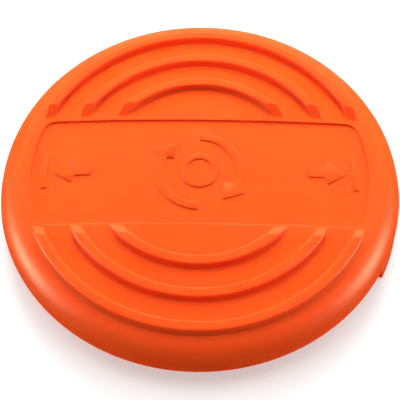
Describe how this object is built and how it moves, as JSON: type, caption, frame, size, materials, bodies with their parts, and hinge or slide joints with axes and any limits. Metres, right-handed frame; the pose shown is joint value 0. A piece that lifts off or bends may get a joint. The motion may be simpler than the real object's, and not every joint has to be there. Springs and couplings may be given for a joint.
{
  "type": "trimmer spool cover",
  "caption": "Round moulded spool cover for a line trimmer head: shallow domed crown with arched ridges around a panel bed, rounded rim, plug ring, hub, ribs and snap tabs.",
  "frame": {"origin": "centre of the plug ring's lower face, on the cover's axis", "axes": "+Z along the cover's axis to its outside, X along the panel's long way, the picture's viewer on the -Y side"},
  "size_m": [0.0886, 0.088, 0.0141],
  "materials": {
    "cover_plastic": "satin orange moulded plastic with a fine moulded grain"
  },
  "bodies": {
    "root": {"spool_cover": "cover_plastic"}
  },
  "joints": []
}
